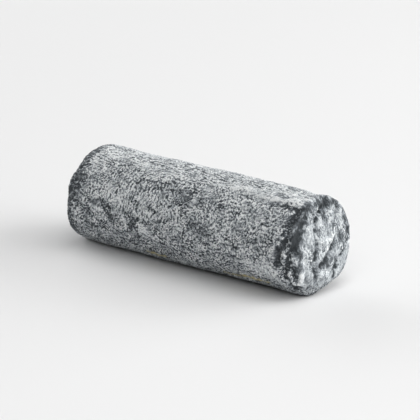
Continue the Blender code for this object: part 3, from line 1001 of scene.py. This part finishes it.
@dataclass(frozen=True)
class Coat:
    """How thick the bloom lies on each part of the log, how strongly it differs from the ash, and the painted
    shade of the underside and the back.
    """

    tone: float = 0.612
    near_face_tone: float = -0.05
    pale_tone: float = 0.05
    # Painted shade: the underside is darker towards the bottom, and the back and its hidden part are darker
    # where the lamps light them strongly.
    low_painted_shade: float = -0.15
    back_painted_shade: float = -0.07
    hidden_painted_shade: float = -0.03
    # Size in millimetres, seed and share of the random patches.
    patches: tuple[tuple[float, int, float], ...] = (
        (22.0, 3, 0.02),
        (9.0, 8, 0.025),
        (4.6, 9, 0.05),
        (3.2, 10, 0.055),
    )
    patch_waves: int = 96
    patch_stretch: tuple[float, float, float] = (1.3, 1.0, 1.0)
    # A stain, or a painted shade among the marks, shows as wider valleys of ash, by this much and less so on
    # the faces, and for the rest as a darker coat. Some crests keep their bloom in the darkest stains.
    cover: float = 3.0
    cover_on_face: float = 0.35
    cover_share: float = 0.25
    most_covered: float = -0.32
    contrast: float = 0.5
    contrast_spread: float = 0.07
    uneven_contrast: Mottle = Mottle(8.0, 12)
    right_contrast: float = -0.05
    top_contrast: float = -0.05
    worn_contrast: float = -0.06
    # Painted shade: the back, which the lamps light strongly, also has its contrast held down.
    hidden_contrast: float = -0.12
    face_contrast: float = -0.17
    mark_contrast: float = -0.38
    most_marked: float = 0.5
    contrast_range: tuple[float, float] = (0.15, 0.65)

    def patchy(self, points: np.ndarray, tone: np.ndarray) -> np.ndarray:
        """Adds the random patches to a tone.

        Args:
            points: Points of the skin.
            tone: Tone of the marks.

        Returns:
            The tone with its patches.
        """
        mottles = (share * Mottle(size, seed, self.patch_waves).at(points, self.patch_stretch)
                   for size, seed, share in self.patches)
        return sum(mottles, tone)

    def covered(self, zones: Zones, crest: np.ndarray, tone: np.ndarray) -> np.ndarray:
        """Lowers the wrinkles for the coat where there is a stain or painted shade, and lifts them where the
        bloom is thick or a highlight is painted.

        Args:
            zones: Parts of the skin.
            crest: Height of the wrinkles.
            tone: Tone of the marks and patches.

        Returns:
            The height that decides between ash and bloom.
        """
        cover = self.cover * (1 - (1 - self.cover_on_face) * zones.face)
        return crest + cover * np.maximum(tone, self.most_covered)

    def tones(self, zones: Zones, tone: np.ndarray) -> np.ndarray:
        """Whole tone of the coat, with painted shade on the underside and on the back.

        Args:
            zones: Parts of the skin.
            tone: Tone of the marks and patches.

        Returns:
            Tone at each point, 0 for bare ash and 1 for the thickest bloom.
        """
        return (self.tone + (1 - self.cover_share) * tone + self.near_face_tone * zones.near_face
                + self.pale_tone * zones.pale + self.low_painted_shade * zones.low
                + self.back_painted_shade * zones.back + self.hidden_painted_shade * zones.hidden)

    def contrasts(self, zones: Zones, mark_strength: np.ndarray) -> np.ndarray:
        """Step of tone between ash and bloom.

        Args:
            zones: Parts of the skin.
            mark_strength: How strongly each point is marked.

        Returns:
            The contrast at each point.
        """
        contrast = (self.contrast + self.contrast_spread * self.uneven_contrast.at(zones.points)
                    + self.right_contrast * zones.right + self.top_contrast * zones.top
                    + self.worn_contrast * zones.worn + self.hidden_contrast * zones.hidden
                    + self.face_contrast * zones.face
                    + self.mark_contrast * np.minimum(mark_strength, self.most_marked))
        return np.clip(contrast, *self.contrast_range)


@dataclass
class CheeseLog:
    """The whole log: its form, folds, wrinkles and coat."""

    form: LogForm = LogForm()
    finish: AshRind = AshRind()
    coat: Coat = Coat()
    crumple: Crumple = Crumple()
    gathers: Gathers = Gathers()
    hidden_stains: HiddenStains = HiddenStains()
    wrinkle_height: float = 0.11
    flatter_on_face: float = 0.4
    bump_height: float = 0.06
    bumps: Mottle = Mottle(3.0, 10, 96)
    # How far stains and painted marks stray from their paths, and by what share their widths vary, less so on
    # the near face.
    wander: float = 0.4
    ragged: float = 0.3
    ragged_on_face: float = 0.12
    ragged_range: tuple[float, float] = (0.45, 1.7)
    wanders: tuple[Mottle, Mottle, Mottle] = (Mottle(4.0, 31), Mottle(4.0, 32), Mottle(4.0, 33))
    widths: Mottle = Mottle(2.0, 5)
    # Firmness of the edges of folds and of stains and painted marks.
    fold_edge: float = 2.0
    mark_edge: float = 3.0

    def build(self) -> bpy.types.Object:
        """Builds the log and makes it stand for the solid.

        Returns:
            The log's object.
        """
        grid = SkinGrid(self.form)
        zones = Zones(self.form, grid.points)
        depth, tone, bare = self.marked(zones)
        mark_strength = np.abs(tone)
        crumple_depth, crumple_tone = self.crumple.at(grid.points, zones.face)
        tone = self.coat.patchy(grid.points, tone + crumple_tone)
        crest = self.coat.covered(zones, Wrinkles(grid).on_rind(zones), tone)
        values = {
            "tone": self.coat.tones(zones, tone),
            "crest": crest,
            "contrast": self.coat.contrasts(zones, mark_strength),
            "paste": bare,
        }
        moved = grid.points - grid.normals(grid.points) * (depth + crumple_depth)[:, None]
        relief = self.wrinkle_height * crest * (1 - self.flatter_on_face * zones.face)
        relief = relief + self.bump_height * self.bumps.at(grid.points)
        return self.dress(grid, moved + grid.normals(moved) * relief[:, None], values)

    def marked(self, zones: Zones) -> tuple[np.ndarray, np.ndarray, np.ndarray]:
        """Puts the folds, stains, painted shade and highlights, and bare spots on the skin.

        Args:
            zones: Parts of the skin.

        Returns:
            Depth, tone and share of bare paste at each point.
        """
        points = zones.points
        strayed = points + self.wander * np.stack([way.at(points) for way in self.wanders], axis=1)
        uneven = self.ragged - (self.ragged - self.ragged_on_face) * zones.near_face
        ragged = np.clip(1 + uneven * self.widths.at(points), *self.ragged_range)
        even = np.ones(len(points))
        depth, tone, bare = np.zeros((3, len(points)))
        for mark in FOLDS + STAINS_AND_PAINTED_LIGHT + self.gathers.marks(self.form) + self.hidden_stains.marks():
            if mark.depth:
                depth += mark.depth * mark.strength(self.form, points, even, self.fold_edge)
            if mark.tone:
                tone += mark.tone * mark.strength(self.form, strayed, ragged, self.mark_edge)
        for spot in BARE_SPOTS:
            bare += spot.tone * spot.strength(self.form, strayed, ragged, self.mark_edge)
        LOG.info("skin: folds up to %.1f mm deep, ridges up to %.1f mm high", depth.max(), -depth.min())
        return depth, tone, bare

    def dress(self, grid: SkinGrid, points: np.ndarray, coat: dict[str, np.ndarray]) -> bpy.types.Object:
        """Turns the points into the finished object.

        Args:
            grid: Grid that the points belong to.
            points: Where the points ended up.
            coat: Values of the coat at each point, by name.

        Returns:
            The object.
        """
        points = points.copy()
        points[:, 2] = np.maximum(points[:, 2] + self.form.radius - self.form.settled, 0.0)
        low, high = (np.array(corner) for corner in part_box(NODE))
        points[:, 0] += (low[0] + high[0]) / 2 / MM - (points[:, 0].min() + points[:, 0].max()) / 2
        mesh = bpy.data.meshes.new("wrinkled_rind")
        mesh.from_pydata((points * MM).tolist(), [], grid.quads.tolist())
        for name, values in coat.items():
            stored = mesh.attributes.new(name, "FLOAT", "POINT")
            stored.data.foreach_set("value", values.astype(np.float32))
        mesh.shade_smooth()
        mesh.materials.append(self.finish.material())
        rind = bpy.data.objects.new("wrinkled_rind", mesh)
        bpy.context.scene.collection.objects.link(rind)
        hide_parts(NODE)
        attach(rind, BODY)
        LOG.info("%s: %d points, %d faces", rind.name, len(mesh.vertices), len(mesh.polygons))
        return rind


@dataclass(frozen=True)
class StudioPaper:
    """Matt white background paper: even, dry and without grain at this distance."""

    color: str = "#E7E7E7"
    roughness: float = 0.8

    def material(self) -> bpy.types.Material:
        """Makes the finish.

        Returns:
            The material.
        """
        material, tree, output = new_material("studio_paper")
        shader = add_node(tree, "ShaderNodeBsdfPrincipled", None, {
            "Base Color": linear(self.color), "Roughness": self.roughness, "Specular IOR Level": 0.0})
        tree.links.new(shader.outputs["BSDF"], output.inputs["Surface"])
        return material


@dataclass(frozen=True)
class SoftLamp:
    """A round softbox that points at the log."""

    name: str
    azimuth: float
    height: float
    share: float
    distance: float = 2.2
    size: float = 1.8

    def build(self, target: Vector) -> None:
        """Hangs the lamp, azimuth from +X towards +Y and height above the floor in degrees.

        Args:
            target: Point that the lamp is aimed at.
        """
        data = bpy.data.lights.new(self.name, "AREA")
        data.shape, data.size = "DISK", self.size
        data.energy = self.share * (np.pi * self.distance) ** 2
        lamp = bpy.data.objects.new(self.name, data)
        flat, up = np.radians(self.azimuth), np.radians(self.height)
        way = Vector((np.cos(flat) * np.cos(up), np.sin(flat) * np.cos(up), np.sin(up)))
        lamp.location = target + way * self.distance
        aim(lamp, target)
        bpy.context.scene.collection.objects.link(lamp)


def aim(thing: bpy.types.Object, target: Vector) -> None:
    """Turns a lamp or the camera towards a point."""
    thing.rotation_euler = (target - thing.location).to_track_quat("-Z", "Y").to_euler()


@dataclass
class Studio:
    """Pale floor, soft light and the camera."""

    paper: StudioPaper = StudioPaper()
    floor_radius: float = 4.0
    floor_sides: int = 96
    # Name, azimuth, height above the floor and strength.
    lamps: tuple[SoftLamp, ...] = (
        SoftLamp("right", 30.0, 28.0, 0.59),
        SoftLamp("right_low", 60.0, 14.0, 0.59),
        SoftLamp("right_front", 0.0, 28.0, 0.19),
        SoftLamp("front", 300.0, 43.0, 0.295),
        SoftLamp("back_low", 150.0, 14.0, 0.48),
        SoftLamp("left_low", 180.0, 14.0, 0.42),
        SoftLamp("top", 0.0, 75.0, 0.385),
    )
    world_strength: float = 0.0
    azimuth: float = 39.03
    elevation: float = 18.0
    distance: float = 1.0
    frame_px: int = 420
    px_per_mm: float = 2.106
    log_px: tuple[float, float] = (204.5, 217.5)
    sensor_mm: float = 36.0
    # The leaning ends put the middle of the axis a little beside the middle of the box.
    axis_shift: float = 0.209

    def floor(self) -> None:
        """Lays the round paper floor."""
        turn = 2 * np.pi * np.arange(self.floor_sides) / self.floor_sides
        ring = np.stack([np.cos(turn), np.sin(turn), np.zeros_like(turn)], axis=1) * self.floor_radius
        mesh = bpy.data.meshes.new("floor")
        mesh.from_pydata(ring.tolist(), [], [tuple(range(self.floor_sides))])
        mesh.materials.append(self.paper.material())
        floor = bpy.data.objects.new("floor", mesh)
        bpy.context.scene.collection.objects.link(floor)

    def light(self, target: Vector) -> None:
        """Sets a dark room and the soft lamps.

        Args:
            target: Point that the lamps are aimed at.
        """
        world = bpy.data.worlds.new("studio")
        world.use_nodes = True
        world.node_tree.nodes["Background"].inputs["Color"].default_value = (1, 1, 1, 1)
        world.node_tree.nodes["Background"].inputs["Strength"].default_value = self.world_strength
        bpy.context.scene.world = world
        for lamp in self.lamps:
            lamp.build(target)

    def camera(self, middle: Vector) -> None:
        """Sets the camera at the photograph's viewing angle, with the log in the same place in the frame.

        Args:
            middle: Middle of the log's axis.
        """
        turn, tilt = np.radians(self.azimuth), np.radians(self.elevation)
        right = Vector((np.cos(turn), np.sin(turn), 0))
        back = Vector((np.sin(turn) * np.cos(tilt), -np.cos(turn) * np.cos(tilt), np.sin(tilt)))
        up = back.cross(right)
        half = self.frame_px / 2
        sideways = (half - self.log_px[0]) / self.px_per_mm * MM
        upwards = (self.log_px[1] - half) / self.px_per_mm * MM
        data = bpy.data.cameras.new("camera")
        data.sensor_width = self.sensor_mm
        data.lens = self.px_per_mm / MM * self.distance / self.frame_px * self.sensor_mm
        camera = bpy.data.objects.new("camera", data)
        camera.location = middle + back * self.distance
        aim(camera, middle + right * sideways + up * upwards)
        bpy.context.scene.collection.objects.link(camera)
        bpy.context.scene.camera = camera

    def build(self, form: LogForm) -> None:
        """Builds the whole studio round the log.

        Args:
            form: The log's form.
        """
        middle = Vector((self.axis_shift * MM, 0, (form.radius - form.settled) * MM))
        self.floor()
        self.light(middle)
        self.camera(middle)
        bpy.context.scene.view_settings.view_transform = "Standard"
        LOG.info("studio: floor, %d lamps and camera", len(self.lamps))


def main() -> None:
    """Builds the log and the studio."""
    logging.basicConfig(level=logging.INFO, format="%(name)s %(message)s")
    log = CheeseLog()
    log.build()
    Studio().build(log.form)


if __name__ == "__main__":
    main()
